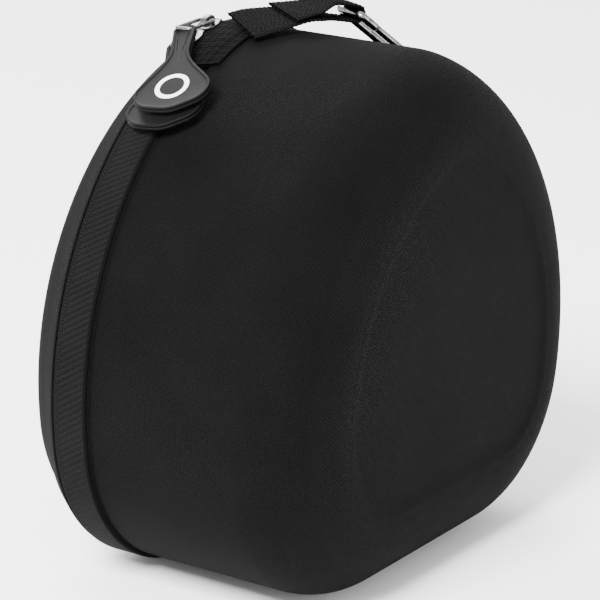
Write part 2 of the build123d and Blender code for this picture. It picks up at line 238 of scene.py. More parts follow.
def evenly(path, count):
    """The same path in count equal steps."""
    total = path_length(path)
    reach = [0.0]
    for a, b in zip(path, path[1:]):
        reach.append(reach[-1] + math.dist(a, b))
    points = []
    index = 0
    for step in range(count + 1):
        want = total * step / count
        while index < len(path) - 2 and reach[index + 1] < want:
            index += 1
        span = reach[index + 1] - reach[index]
        part = (want - reach[index]) / span if span else 0.0
        points.append([a + (b - a) * part for a, b in zip(path[index], path[index + 1])])
    return points


def modify(piece, kind, **settings):
    """Adds a modifier and applies it."""
    clear_selection()
    piece.select_set(True)
    bpy.context.view_layer.objects.active = piece
    modifier = piece.modifiers.new(kind.title(), kind)
    for key, value in settings.items():
        setattr(modifier, key, value)
    bpy.ops.object.modifier_apply(modifier=modifier.name)
    return piece


def join(name, pieces):
    clear_selection()
    for piece in pieces:
        piece.select_set(True)
    bpy.context.view_layer.objects.active = pieces[0]
    bpy.ops.object.join()
    pieces[0].name = name
    pieces[0].data.name = name
    return pieces[0]


def finish_piece(piece, material, body, slot, *nodes):
    """Gives a piece its material and body, and hides the nodes it stands for. The slot is not used."""
    piece.data.materials.clear()
    piece.data.materials.append(material)
    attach(piece, body)
    if nodes:
        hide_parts(*nodes)
    return piece


def dress(node, material):
    """Puts a material on a carried-over node."""
    node_object = frame["nodes"][node]
    if not node_object.material_slots:
        node_object.data.materials.append(material)
    for slot in node_object.material_slots:
        slot.material = material


# ---- materials --------------------------------------------------------------------------------
class Nodes:
    """Short ways to add and join a material's nodes."""

    def __init__(self, name):
        self.material = bpy.data.materials.new(name)
        self.material.use_nodes = True
        self.tree = self.material.node_tree
        self.shader = self.tree.nodes["Principled BSDF"]

    def add(self, kind, **settings):
        node = self.tree.nodes.new(kind)
        for key, value in settings.items():
            setattr(node, key, value)
        return node

    def link(self, source, target):
        self.tree.links.new(source, target)

    def math(self, operation, first, second=0.0, clamp=False):
        node = self.add("ShaderNodeMath", operation=operation, use_clamp=clamp)
        for socket, value in zip(node.inputs, (first, second)):
            if isinstance(value, (int, float)):
                socket.default_value = value
            else:
                self.link(value, socket)
        return node.outputs[0]

    def coordinates(self, kind):
        """X, Y and Z of Object, UV or Normal coordinates."""
        split = self.add("ShaderNodeSeparateXYZ")
        self.link(self.add("ShaderNodeTexCoord").outputs[kind], split.inputs[0])
        return split.outputs

    def waves(self, across, along, pitch):
        """Two crossing rows of threads, from -1 to 1."""
        rate = 2 * math.pi / (pitch * MM)
        first = self.math("SINE", self.math("MULTIPLY", across, rate))
        second = self.math("SINE", self.math("MULTIPLY", along, rate))
        return self.math("MULTIPLY", first, second)

    def noise(self, scale, detail=2.0):
        texture = self.add("ShaderNodeTexNoise")
        texture.inputs["Scale"].default_value = scale
        texture.inputs["Detail"].default_value = detail
        self.link(self.add("ShaderNodeTexCoord").outputs["Object"], texture.inputs["Vector"])
        return texture.outputs["Fac"]

    def shade(self, factor, dark, light, low=0.0, high=1.0):
        """The base colour runs from dark to light as factor runs from low to high."""
        ramp = self.add("ShaderNodeValToRGB")
        ramp.color_ramp.elements[0].position = low
        ramp.color_ramp.elements[0].color = (*dark, 1)
        ramp.color_ramp.elements[1].position = high
        ramp.color_ramp.elements[1].color = (*light, 1)
        self.link(factor, ramp.inputs[0])
        self.link(ramp.outputs[0], self.shader.inputs["Base Color"])

    def rough(self, factor, low, high):
        spread = self.add("ShaderNodeMapRange")
        spread.inputs["To Min"].default_value = low
        spread.inputs["To Max"].default_value = high
        self.link(factor, spread.inputs["Value"])
        self.link(spread.outputs["Result"], self.shader.inputs["Roughness"])

    def bump(self, height, distance):
        node = self.add("ShaderNodeBump")
        node.inputs["Strength"].default_value = 1.0
        node.inputs["Distance"].default_value = distance * MM
        self.link(height, node.inputs["Height"])
        self.link(node.outputs[0], self.shader.inputs["Normal"])

    def set(self, **values):
        for key, value in values.items():
            self.shader.inputs[key.replace("_", " ")].default_value = value
        return self.material


def tint(colour, share):
    return tuple(channel * share for channel in colour)


def half_up(nodes, value):
    """From -1..1 to 0..1."""
    return nodes.math("ADD", nodes.math("MULTIPLY", value, 0.5), 0.5)


def woven_material(name, colour, pitch, twill=0.0, relief=0.5, contrast=0.85, flat_face=False):
    """Woven cloth: threads along the surface's UV map, and along X and Z on a flat front face."""
    nodes = Nodes(name)
    uv = nodes.coordinates("UV")
    across, along = uv[0], uv[1]
    diagonal = nodes.math("ADD", across, along)
    crossed = nodes.math("SUBTRACT", across, along)
    weave = nodes.waves(diagonal, crossed, pitch)
    if twill:
        rate = 2 * math.pi / (twill * MM)
        rows = nodes.math("SINE", nodes.math("MULTIPLY", diagonal, rate))
        weave = nodes.math("ADD", nodes.math("MULTIPLY", weave, 0.5), nodes.math("MULTIPLY", rows, 0.5))
    if flat_face:
        place = nodes.coordinates("Object")
        face = nodes.waves(place[0], place[2], pitch)
        turned = nodes.math("ABSOLUTE", nodes.coordinates("Normal")[1])
        share = nodes.math("MULTIPLY", nodes.math("SUBTRACT", turned, 0.80), 8.0, clamp=True)
        rest = nodes.math("SUBTRACT", 1.0, share)
        weave = nodes.math("ADD", nodes.math("MULTIPLY", face, share), nodes.math("MULTIPLY", weave, rest))
    fluff = nodes.noise(2600.0)
    height = nodes.math("ADD", half_up(nodes, weave), nodes.math("MULTIPLY", fluff, 0.8))
    cloud = nodes.math("MULTIPLY", nodes.noise(38.0, 3.0), 0.35)
    tone = nodes.math("ADD", nodes.math("MULTIPLY", height, 0.5), cloud)
    nodes.shade(tone, tint(colour, 1 - contrast), tint(colour, 1 + contrast), 0.25, 0.95)
    nodes.rough(fluff, 0.72, 0.95)
    nodes.bump(height, relief)
    return nodes.set(Specular_IOR_Level=0.04)


def plush_material(name, colour, scale=900.0):
    nodes = Nodes(name)
    pile = nodes.noise(scale, 4.0)
    patches = nodes.noise(60.0, 3.0)
    tone = nodes.math("ADD", nodes.math("MULTIPLY", pile, 0.6), nodes.math("MULTIPLY", patches, 0.4))
    nodes.shade(tone, tint(colour, 0.55), tint(colour, 1.5), 0.3, 0.7)
    nodes.rough(pile, 0.85, 1.0)
    nodes.bump(pile, 0.35)
    return nodes.set(Sheen_Weight=0.02, Sheen_Roughness=0.6, Specular_IOR_Level=0.08)


def foam_material():
    nodes = Nodes("moulded_foam")
    cells = nodes.add("ShaderNodeTexVoronoi")
    cells.inputs["Scale"].default_value = 1400.0
    nodes.link(nodes.add("ShaderNodeTexCoord").outputs["Object"], cells.inputs["Vector"])
    nodes.shade(cells.outputs["Distance"], (0.012, 0.012, 0.013), (0.04, 0.04, 0.042), 0.0, 0.7)
    nodes.rough(cells.outputs["Distance"], 0.7, 0.95)
    nodes.bump(cells.outputs["Distance"], 0.15)
    return nodes.material


def soft_pvc_material():
    nodes = Nodes("soft_pvc")
    grain = nodes.noise(1500.0, 3.0)
    wear = nodes.noise(90.0, 3.0)
    nodes.shade(wear, tint(colours().pull, 0.85), tint(colours().pull, 1.2), 0.35, 0.7)
    nodes.rough(grain, 0.42, 0.62)
    nodes.bump(grain, 0.03)
    return nodes.set(Specular_IOR_Level=0.07)


def nylon_material():
    nodes = Nodes("nylon_coil")
    grain = nodes.noise(3000.0)
    nodes.shade(grain, (0.002, 0.002, 0.002), (0.007, 0.007, 0.0072), 0.3, 0.7)
    nodes.rough(grain, 0.3, 0.45)
    nodes.bump(grain, 0.01)
    return nodes.set(Specular_IOR_Level=0.12)


def thread_material():
    nodes = Nodes("sewing_thread")
    twist = nodes.noise(4000.0)
    nodes.shade(twist, (0.002, 0.002, 0.002), (0.006, 0.006, 0.0062), 0.3, 0.7)
    nodes.rough(twist, 0.5, 0.7)
    nodes.bump(twist, 0.05)
    return nodes.set(Specular_IOR_Level=0.08)


def metal_material(name, colour, low, high):
    """Plated metal, worn a little brighter in patches."""
    nodes = Nodes(name)
    wear = nodes.noise(450.0, 4.0)
    scratches = nodes.noise(5200.0, 2.0)
    nodes.shade(wear, tint(colour, 0.55), tint(colour, 1.9), 0.38, 0.72)
    nodes.rough(scratches, low, high)
    nodes.bump(scratches, 0.008)
    return nodes.set(Metallic=1.0)


def print_material():
    nodes = Nodes("pale_print")
    grain = nodes.noise(2000.0)
    nodes.shade(grain, (0.72, 0.72, 0.72), (0.86, 0.86, 0.86), 0.3, 0.7)
    nodes.rough(grain, 0.45, 0.6)
    nodes.bump(grain, 0.01)
    return nodes.material


def floor_material():
    nodes = Nodes("paper_floor")
    grain = nodes.noise(700.0)
    nodes.shade(grain, (0.93, 0.93, 0.93), (0.96, 0.96, 0.96), 0.3, 0.7)
    nodes.rough(grain, 0.8, 0.9)
    return nodes.material


def made(name, maker):
    """The material of that name, made once."""
    return bpy.data.materials.get(name) or maker()


def cover_cloth():
    return made("cover_cloth", lambda: woven_material(
        "cover_cloth", colours().cover, 1.5, flat_face=True))


def lid_cloth():
    return made("lid_cloth", lambda: woven_material(
        "lid_cloth", colours().lid, 0.5, relief=0.08, contrast=0.3, flat_face=True))


def tape_cloth():
    return made("tape_cloth", lambda: woven_material(
        "tape_cloth", colours().tape, 1.6, twill=2.4, relief=0.6))


def webbing_cloth():
    return made("webbing_cloth", lambda: woven_material(
        "webbing_cloth", colours().webbing, 2.7, relief=1.2, contrast=0.92))


def binding_cloth():
    return made("binding_cloth", lambda: plush_material("binding_cloth", tint(colours().tape, 1.2), 2200.0))


def lining_cloth():
    return made("lining_cloth", lambda: plush_material("lining_cloth", colours().lining))


def gunmetal():
    return made("gunmetal", lambda: metal_material("gunmetal", colours().metal, 0.18, 0.34))


def clip_metal():
    return made("clip_plating", lambda: metal_material(
        "clip_plating", tint(colours().metal, 1.6), 0.12, 0.25))


# ---- the covers -------------------------------------------------------------------------------
class CASE_OT_front_shell(bpy.types.Operator):
    """The deep front half's woven cover, with the groove beside the tape and the pressed panel"""
    bl_idname = "case.front_shell"
    bl_label = "Front cover"

    def execute(self, context):
        band_end, groove = 14.5, 1.8
        wall_share = 0.86
        path = [(COVER_RIM, TAPE_WALL), (band_end - 0.6, TAPE_WALL)]
        for step in range(9):
            share = step / 8
            dip = sizes().groove_depth * math.sin(math.pi * share) ** 0.7
            path.append((band_end + groove * share, TAPE_WALL + dip))
        start = FRONT_DEPTH - FRONT_ROUND
        path.append((start - 20, TAPE_WALL))
        for step in range(25):
            angle = math.radians(90 * step / 24)
            drop = FRONT_ROUND * (1 - math.cos(angle))
            path.append((start + FRONT_ROUND * math.sin(angle), TAPE_WALL + drop))
        edge = TAPE_WALL + FRONT_ROUND
        for step in range(1, 13):
            share = step / 12
            bead = sizes().panel_bead * math.sin(math.pi * min(share * 1.6, 1.0))
            press = sizes().panel_recess * smooth(share * 1.6 - 0.6)
            path.append((FRONT_DEPTH - 0.25 + bead - press, edge + 8 * share))
        flat_edge = path[-1]
        path = evenly(path, 118)
        middle = CROWN_Z * FAN_HEIGHT

        def place(u, v):
            share = v / wall_share
            if share <= 1:
                depth, inset = along_path(path, share)
                return at_depth(u, inset, depth)
            shrink = 1 - (v - wall_share) / (1 - wall_share)
            x, z = outline(u, flat_edge[1])
            crown = 0.5 * (1 - shrink ** 2)
            return Vector((x * shrink, SEAM_Y - flat_edge[0] - crown, middle + (z - middle) * shrink)) * MM

        reach = path_length(path) / wall_share
        cover = wrapped_grid("woven_front_cover", 300, 138, place, PERIMETER, reach)
        modify(cover, "SOLIDIFY", thickness=COVER_WALL * MM, offset=-1)
        finish_piece(cover, cover_cloth(), "front_half", "cover_fabric", "front_cover")
        return {"FINISHED"}


class CASE_OT_lid_shell(bpy.types.Operator):
    """The shallow lid's smooth cover"""
    bl_idname = "case.lid_shell"
    bl_label = "Lid cover"

    def execute(self, context):
        wall_share = 0.75
        lean = math.tan(LID_LEAN)
        centre = TAPE_WALL + LID_ROUND / math.cos(LID_LEAN)
        path = [(COVER_RIM, TAPE_WALL + COVER_RIM * lean)]
        for step in range(25):
            angle = LID_LEAN + (math.pi / 2 - LID_LEAN) * step / 24
            depth = LID_DEPTH - LID_ROUND + LID_ROUND * math.sin(angle)
            path.append((depth, centre - LID_ROUND * math.cos(angle)))
        last = path[-1]
        path = evenly(path, 50)
        middle = CROWN_Z * FAN_HEIGHT

        def place(u, v):
            share = v / wall_share
            if share <= 1:
                depth, inset = along_path(path, share)
                return at_depth(u, inset, -depth)
            shrink = 1 - (v - wall_share) / (1 - wall_share)
            x, z = outline(u, last[1])
            return Vector((x * shrink, SEAM_Y + last[0], middle + (z - middle) * shrink)) * MM

        reach = path_length(path) / wall_share
        cover = wrapped_grid("smooth_lid_cover", 300, 66, place, PERIMETER, reach)
        modify(cover, "SOLIDIFY", thickness=COVER_WALL * MM, offset=-1)
        finish_piece(cover, lid_cloth(), "lid", "cover_fabric", "lid_cover")
        return {"FINISHED"}


# ---- the zipper -------------------------------------------------------------------------------
def tape_ring(name, start, end, lean, roll):
    """A woven band round the slit with a rolled outer edge; lean draws a lid tape inwards."""
    profile = [(start, TAPE_WALL), (start, 0.75), (start + 0.15, 0.3), (start + 0.55, 0.04)]
    profile += [(start + 1.2, 0.0), (start + 1.55, 0.16), (start + 1.9, 0.0)]
    for step in range(5):
        share = step / 4
        profile.append((start + 2.4 + (end - roll - start - 2.4) * share, -0.15 * math.sin(math.pi * share)))
    for step in range(1, 6):
        angle = math.radians(18 * step)
        profile.append((end - roll + roll * math.sin(angle), roll * (1 - math.cos(angle))))
    profile += [(end, TAPE_WALL), (start, TAPE_WALL)]
    sign = -1 if lean else 1

    def place(u, v):
        depth, inset = along_path(profile, v)
        return at_depth(u, max(inset, 0.0) + depth * math.tan(lean), sign * depth)

    return wrapped_grid(name, 420, 4 * (len(profile) - 1), place, PERIMETER, path_length(profile))


def bead_row(name, depth, inset, sign, pitch, half_length, half_width, height):
    """A row of small stitches along the outline."""
    clear_selection()
    bpy.ops.mesh.primitive_uv_sphere_add(segments=6, ring_count=5, radius=1)
    bead = bpy.context.object
    points = [vertex.co.copy() for vertex in bead.data.vertices]
    count = int(PERIMETER / pitch)
    faces = [tuple(polygon.vertices) for polygon in bead.data.polygons]
    vertices, polygons = [], []
    for index in range(count):
        base = len(vertices)
        for point in points:
            t = (index + 0.5) / count + (point.x * half_length + point.y * 0.25) / PERIMETER
            vertices.append(at_depth(t, inset - height * point.z, sign * (depth + point.y * half_width)))
        polygons += [tuple(base + corner for corner in face) for face in faces]
    bead.data.clear_geometry()
    bead.data.from_pydata(vertices, [], polygons)
    bead.data.update()
    bead.name = name
    bead.data.name = name
    clear_selection()
    bead.select_set(True)
    bpy.context.view_layer.objects.active = bead
    bpy.ops.object.shade_smooth()
    return bead


def coil_ring(name, sign, lean):
    """A nylon coil wound along the inside of its tape's edge, from end stop to end stop."""
    stop = (CORNER_X + 10.5) / PERIMETER
    turns = int(PERIMETER * (1 - 2 * stop) / sizes().coil_pitch)
    wire = 0.34

    def place(u, v):
        t = stop + (1 - 2 * stop) * u
        turn = 2 * math.pi * turns * u
        side = 2 * math.pi * v
        reach_y = 1.35 + (0.72 + wire * math.cos(side)) * math.cos(turn)
        reach_z = 2.6 + (0.72 + wire * math.cos(side)) * math.sin(turn)
        shift = wire * math.sin(side) / PERIMETER
        return at_depth(t + shift, reach_z + reach_y * math.tan(lean), sign * reach_y)

    return wrapped_grid(name, turns * 9, 5, place, PERIMETER, 4.0)


class CASE_OT_tapes(bpy.types.Operator):
    """The two zipper tapes with their stitch rows"""
    bl_idname = "case.tapes"
    bl_label = "Zipper tapes"

    def execute(self, context):
        front = tape_ring("front_tape_weave", 0.4, 14.4, 0.0, 0.9)
        finish_piece(front, tape_cloth(), "front_half", "zip_tape", "front_zip_tape", "hinge_strip_front")
        lid = tape_ring("lid_tape_weave", 0.4, 6.6, LID_LEAN, 0.7)
        finish_piece(lid, tape_cloth(), "lid", "zip_tape", "lid_zip_tape", "hinge_strip_back")
        pitch = sizes().stitch_pitch
        thread = made("sewing_thread", thread_material)
        front_row = bead_row("front_tape_stitches", 1.95, 0.08, 1, pitch, 0.42, 0.34, 0.16)
        finish_piece(front_row, thread, "front_half", "zip_tape")
        lid_inset = 0.08 + 1.95 * math.tan(LID_LEAN)
        lid_row = bead_row("lid_tape_stitches", 1.95, lid_inset, -1, pitch, 0.42, 0.34, 0.16)
        finish_piece(lid_row, thread, "lid", "zip_tape")
        return {"FINISHED"}


class CASE_OT_coils(bpy.types.Operator):
    """The two zipper coils and their end stops"""
    bl_idname = "case.coils"
    bl_label = "Zipper coils"

    def execute(self, context):
        nylon = made("nylon_coil", nylon_material)
        finish_piece(coil_ring("front_coil_windings", 1, 0.0), nylon, "front_half", "zip_coil", "front_coil")
        finish_piece(coil_ring("lid_coil_windings", -1, LID_LEAN), nylon, "lid", "zip_coil", "lid_coil")
        dress("zipper_end_stops", nylon)
        return {"FINISHED"}


class CASE_OT_hinge(bpy.types.Operator):
    """The fabric gusset that joins the lid to the front half under the closed slit"""
    bl_idname = "case.hinge"
    bl_label = "Fabric hinge"

    def execute(self, context):
        half = CORNER_X + 5.5
        wall, reach = 0.7, 4.6

        def place(u, v):
            across = -reach + 2 * reach * u
            lift = TAPE_WALL + 0.05 + max(across, 0.0) * math.tan(LID_LEAN)
            return Vector((half * (2 * v - 1), SEAM_Y + across, lift)) * MM

        gusset = wrapped_grid("hinge_gusset", 36, 60, place, 2 * reach, 2 * half)
        modify(gusset, "SOLIDIFY", thickness=wall * MM, offset=-1)
        gusset.data.materials.clear()
        gusset.data.materials.append(tape_cloth())
        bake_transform(gusset)
        return {"FINISHED"}


# ---- sliders and pulls ------------------------------------------------------------------------
def slider_place(centre_x, centre_z, radius, angle, x, y, z):
    """A point x along the slit from the slider's middle, y towards the lid and z above the ring."""
    turn = math.radians(90 + angle) - x / radius
    reach = radius + z
    return Vector((centre_x + reach * math.cos(turn), SEAM_Y + y, centre_z + reach * math.sin(turn))) * MM


def slider_block(name, half_length, half_width, low, high, tail, bevel):
    """A plate with a narrow tail and rounded edges, still flat."""
    clear_selection()
    bpy.ops.mesh.primitive_cube_add(size=2)
    block = bpy.context.object
    bpy.ops.object.mode_set(mode="EDIT")
    bpy.ops.mesh.select_all(action="SELECT")
    bpy.ops.mesh.subdivide(number_cuts=7)
    bpy.ops.object.mode_set(mode="OBJECT")
    for vertex in block.data.vertices:
        x, y, z = vertex.co
        narrow = 1 - (1 - tail) * smooth((x + 0.1) / 1.1)
        nose = 1 - 0.28 * smooth((-x - 0.45) / 0.55)
        vertex.co = (x * half_length, y * half_width * narrow * nose, (low + high) / 2 + z * (high - low) / 2)
    modify(block, "BEVEL", width=bevel, segments=3, limit_method="ANGLE", angle_limit=0.7)
    block.name = name
    return block


def slider_arch(half_length, half_width, low, high, thick):
    """The arched bridge over a slider, as a closed band."""
    def place(u, v):
        angle = math.pi * u
        reach = Vector((-math.cos(angle) * half_length, 0, math.sin(angle)))
        flat = abs(reach.z) ** 0.55
        side = 2 * math.pi * v
        swell = thick * 0.5
        y = half_width * max(-1, min(1, 1.25 * math.cos(side)))
        out = swell * max(-1, min(1, 1.25 * math.sin(side)))
        return Vector((reach.x + out * reach.x / half_length, y, low + (high - low) * flat + out * flat))

    return wrapped_grid("slider_arch", 28, 16, place, 10.0, 6.0, merge=0.0001)


class CASE_OT_sliders(bpy.types.Operator):
    """The two zipper sliders"""
    bl_idname = "case.sliders"
    bl_label = "Sliders"

    def execute(self, context):
        plate_low, plate_high, top = 0.2, 1.6, 4.2
        foot_low, foot_high = -5.6, -4.25
        seats = [
            ("left", FLANK_X, FLANK_Z, FLANK_RADIUS, 21.0, -1),
            ("right", 0.0, CROWN_Z, CROWN_RADIUS, 10.4, 1),
        ]
        for side, x, z, radius, angle, tail_way in seats:
            plate = slider_block("plate", 5.5, 4.6, plate_low, plate_high, 0.62, 0.35)
            foot = slider_block("foot", 5.5, 2.9, foot_low, foot_high, 0.75, 0.3)
            web = slider_block("web", 2.0, 0.25, foot_high - 0.3, plate_low + 0.3, 1.0, 0.05)
            arch = slider_arch(2.9, 1.2, plate_high - 0.2, top - 0.45, 0.9)
            body = join("slider_" + side + "_body", [plate, foot, web, arch])
            for vertex in body.data.vertices:
                px, py, pz = vertex.co
                vertex.co = slider_place(x, z, radius, angle, px * tail_way, py, pz)
            tidy_mesh(body)
            bpy.ops.object.shade_smooth_by_angle(angle=0.6)
            finish_piece(body, gunmetal(), side + "_slider", "slider_metal", "slider_" + side)
        for node in ("pull_link_left", "pull_link_right"):
            dress(node, gunmetal())
        return {"FINISHED"}


PULL_LENGTH, PULL_WALL = 46.0, 2.4
PULL_NECK, PULL_BULB = 4.3, 14.0


def hermite(a, ta, b, tb, share):
    s2, s3 = share ** 2, share ** 3
    return [(2 * s3 - 3 * s2 + 1) * p + (s3 - 2 * s2 + share) * q + (3 * s2 - 2 * s3) * r + (s3 - s2) * w
            for p, q, r, w in zip(a, ta, b, tb)]


def pull_side():
    """One side of the pull's outline, from the middle of its neck end to the middle of its foot."""
    waist = (0.3 * PULL_LENGTH, 0.84 * PULL_NECK)
    widest = (0.72 * PULL_LENGTH, PULL_BULB)
    heel = (0.95 * PULL_LENGTH, 0.62 * PULL_BULB)
    points = [(0, 0), (0, PULL_NECK - 2.2), (0.65, PULL_NECK - 0.65), (2.2, PULL_NECK), waist]
    points += [hermite(waist, (22, 0), widest, (16, 8), s / 14) for s in range(1, 15)]
    points += [hermite(widest, (10, 5), heel, (4.5, -15), s / 12) for s in range(1, 13)]
    points += [hermite(heel, (2.7, -9), (PULL_LENGTH, 0), (0, -9), s / 8) for s in range(1, 9)]
    return points


def pull_frame(side):
    """Origin, long way, width way and face normal of a pull, from its joint and its hanging angles."""
    drop, slant, facing = math.radians(28.0), math.radians(27.0), math.radians(37.0)
    way = Vector((-math.cos(drop) * math.cos(slant), -math.cos(drop) * math.sin(slant), -math.sin(drop)))
    look = Vector((-math.sin(facing), 0, math.cos(facing)))
    normal = (look - way * look.dot(way)).normalized()
    joints = {joint["name"]: joint for joint in frame["record"]["behaviour"]["joints"]}
    pivot = Vector(joints["puller_" + side + "_swing"]["pos_m"])
    link_length, link_drop = {"left": (9.0, 21.0), "right": (19.0, 0.0)}[side]
    link_drop, link_slant = math.radians(link_drop), math.radians(8.0)
    link_way = Vector((-math.cos(link_drop) * math.cos(link_slant),
                       -math.cos(link_drop) * math.sin(link_slant), -math.sin(link_drop)))
    origin = pivot + link_way * (link_length - 2.1) * MM
    return origin, way, normal.cross(way), normal


class CASE_OT_pulls(bpy.types.Operator):
    """The two soft moulded pulls, one lying over the other"""
    bl_idname = "case.pulls"
    bl_label = "Pulls"

    def execute(self, context):
        side = evenly(pull_side(), 70)
        loop = side + [[x, -y] for x, y in reversed(side[:-1])]
        hub = (0.5 * PULL_LENGTH, 0.0)
        half = PULL_WALL / 2
        section = [(0.30, -half), (0.12, -half + 0.03), (0.03, -half + 0.12), (0.0, -half + 0.35),
                   (0.0, -0.25), (0.14, -0.12), (0.14, 0.12), (0.0, 0.25),
                   (0.0, half - 0.35), (0.04, half - 0.12), (0.14, half - 0.03), (0.35, half),
                   (0.95, half), (1.15, half - 0.06), (1.30, half - 0.22), (1.5, half - 0.25)]
        pvc = made("soft_pvc", soft_pvc_material)

        for name in ("left", "right"):
            origin, way, across, normal = pull_frame(name)

            def place(u, v):
                index = u * (len(loop) - 1)
                x, y = along_path(loop, u)
                before = loop[max(int(index) - 1, 0)]
                after = loop[min(int(index) + 2, len(loop) - 1)]
                tangent = Vector((after[0] - before[0], after[1] - before[1])).normalized()
                inward = Vector((tangent.y, -tangent.x))
                rank = v * (len(section) + 5)
                if rank < 3:
                    inset, height, shrink = section[0][0], section[0][1], rank / 3
                elif rank <= len(section) + 2:
                    inset, height = along_path(section, (rank - 3) / (len(section) - 1))
                    shrink = 1.0
                else:
                    inset, height = section[-1]
                    shrink = max(0.0, (len(section) + 5 - rank) / 3)
                x += inward.x * inset
                y += inward.y * inset
                x = hub[0] + (x - hub[0]) * shrink
                y *= shrink
                return origin + (way * x + across * y + normal * height) * MM

            pull = wrapped_grid("soft_pull_" + name, 280, len(section) + 5, place, 110.0, 20.0)
            finish_piece(pull, pvc, name + "_pull", "soft_pull", "puller_" + name)

        origin, way, across, normal = pull_frame("right")
        centre = origin + (way * 0.74 * PULL_LENGTH + normal * (half - 0.2)) * MM

        def ring(u, v):
            angle, turn = 2 * math.pi * u, 2 * math.pi * v
            reach = 5.6 + 0.95 * math.cos(turn)
            lift = 0.22 * math.sin(turn)
            flat = way * math.cos(angle) + across * math.sin(angle)
            return centre + (flat * reach + normal * lift) * MM

        mark = wrapped_grid("pull_plain_ring", 72, 10, ring, 40.0, 4.0)
        finish_piece(mark, made("pale_print", print_material), "right_pull", "soft_pull")
        return {"FINISHED"}


# ---- strap and clip ---------------------------------------------------------------------------
STRAP_SLANT = math.radians(27.0)
STRAP_ROUTE = [(0, 0), (6, 1.3), (24, 2.9), (47.5, -1.2), (50.2, 3.8), (38, 6.8), (28, 4.9), (17, 3.95)]
STRAP_BENDS = [20, 30, 2.4, 2.4, 14, 20]
STRAP_WALL = 1.6


def rounded_route(points, bends, steps=10):
    """A polyline with an arc of the given radius at each corner."""
    route = [points[0]]
    for before, corner, after, bend in zip(points, points[1:], points[2:], bends):
        corner_v = Vector(corner)
        come = (Vector(before) - corner_v).normalized()
        go = (Vector(after) - corner_v).normalized()
        half = come.angle(go) / 2
        reach = bend / math.tan(half)
        middle = corner_v + (come + go).normalized() * bend / math.sin(half)
        first = corner_v + come * reach - middle
        last = corner_v + go * reach - middle
        sweep = first.angle_signed(last)
        for step in range(steps + 1):
            turned = Matrix.Rotation(-sweep * step / steps, 2) @ first
            route.append(tuple(middle + turned))
    route.append(points[-1])
    return route


class CASE_OT_strap(bpy.types.Operator):
    """The ribbed webbing strap, folded round the clip, and its sewn tongue"""
    bl_idname = "case.strap"
    bl_label = "Strap"

    def execute(self, context):
        joints = {joint["name"]: joint for joint in frame["record"]["behaviour"]["joints"]}
        root = Vector(joints["strap_lift"]["pos_m"])
        way = Vector((math.cos(STRAP_SLANT), -math.sin(STRAP_SLANT), 0))
        across = Vector((math.sin(STRAP_SLANT), math.cos(STRAP_SLANT), 0))
        up = Vector((0, 0, 1))
        route = evenly(rounded_route(STRAP_ROUTE, STRAP_BENDS), 420)
        length = path_length(route)
        section = []
        for step in range(25):
            section.append((-1 + 2 * step / 24, 1))
        for step in range(25):
            section.append((1 - 2 * step / 24, -1))
        section.append(section[0])

        def place(u, v):
            index = u * (len(route) - 1)
            x, z = along_path(route, u)
            before = route[max(int(index) - 2, 0)]
            after = route[min(int(index) + 3, len(route) - 1)]
            tangent = Vector((after[0] - before[0], after[1] - before[1])).normalized()
            out = Vector((-tangent.y, tangent.x))
            side, face = along_path(section, v)
            half = 11.0 - 5.0 * smooth((x - 27.0) / 11.0)
            column = int(abs(side) * 7) % 2
            ridge = 0.5 + 0.5 * math.cos(2 * math.pi * (u * length / sizes().rib_pitch + 0.5 * column))
            thin = (1 - 0.5 * (1 - ridge)) * (1 - 0.45 * smooth((abs(side) - 0.93) / 0.07))
            reach = STRAP_WALL / 2 * face * thin
            droop = math.radians(14) * (1 - smooth(x / 34))
            sideways = across * math.cos(droop) + up * math.sin(droop)
            lift = up * math.cos(droop) - across * math.sin(droop)
            return root + (way * (x + out.x * reach) + sideways * side * half + lift * (z + out.y * reach)) * MM

        strap = wrapped_grid("webbing_strap", 420, 50, place, length, 48.0, merge=0.00002)
        finish_piece(strap, webbing_cloth(), "strap", "webbing", "clip_strap")

        def tongue_place(u, v):
            edge_angle = 2 * math.pi * v
            depth = 11.6 + 8.0 * max(-1, min(1, 1.3 * math.cos(edge_angle)))
            end = 1 - 0.25 * smooth((depth - 6) / 14)
            thick = 0.45 + 0.5 * max(-1, min(1, 1.3 * math.sin(edge_angle)))
            ridge = 0.12 * math.cos(2 * math.pi * 34.0 * u / sizes().rib_pitch)
            t = 0.5 + (4.0 + 40.0 * u * end) / PERIMETER
            drop = 1.1 * smooth((depth - 14.8) / 1.5)
            return at_depth(t, drop - thick - (ridge if thick > 0.5 else 0.0), depth)

        tongue = wrapped_grid("sewn_tongue", 160, 24, tongue_place, 34.0, 34.0)
        finish_piece(tongue, webbing_cloth(), "front_half", "webbing", "strap_anchor")
        return {"FINISHED"}


class CASE_OT_clip(bpy.types.Operator):
    """The wire clip and its sprung gate"""
    bl_idname = "case.clip"
    bl_label = "Clip"

    def execute(self, context):
        for node in ("clip_body", "clip_gate"):
            dress(node, clip_metal())
        return {"FINISHED"}


# ---- inside -----------------------------------------------------------------------------------
class CASE_OT_inside(bpy.types.Operator):
    """Finishes for the linings, bindings, foam and pillar"""
    bl_idname = "case.inside"
    bl_label = "Inside"

    def execute(self, context):
        foam = made("moulded_foam", foam_material)
        for node in ("front_lining", "lid_lining", "centre_pillar"):
            dress(node, lining_cloth())
        for node in ("front_foam", "lid_foam"):
            dress(node, foam)
        for node in ("front_binding", "lid_binding", "pocket_hem"):
            dress(node, binding_cloth())
        return {"FINISHED"}


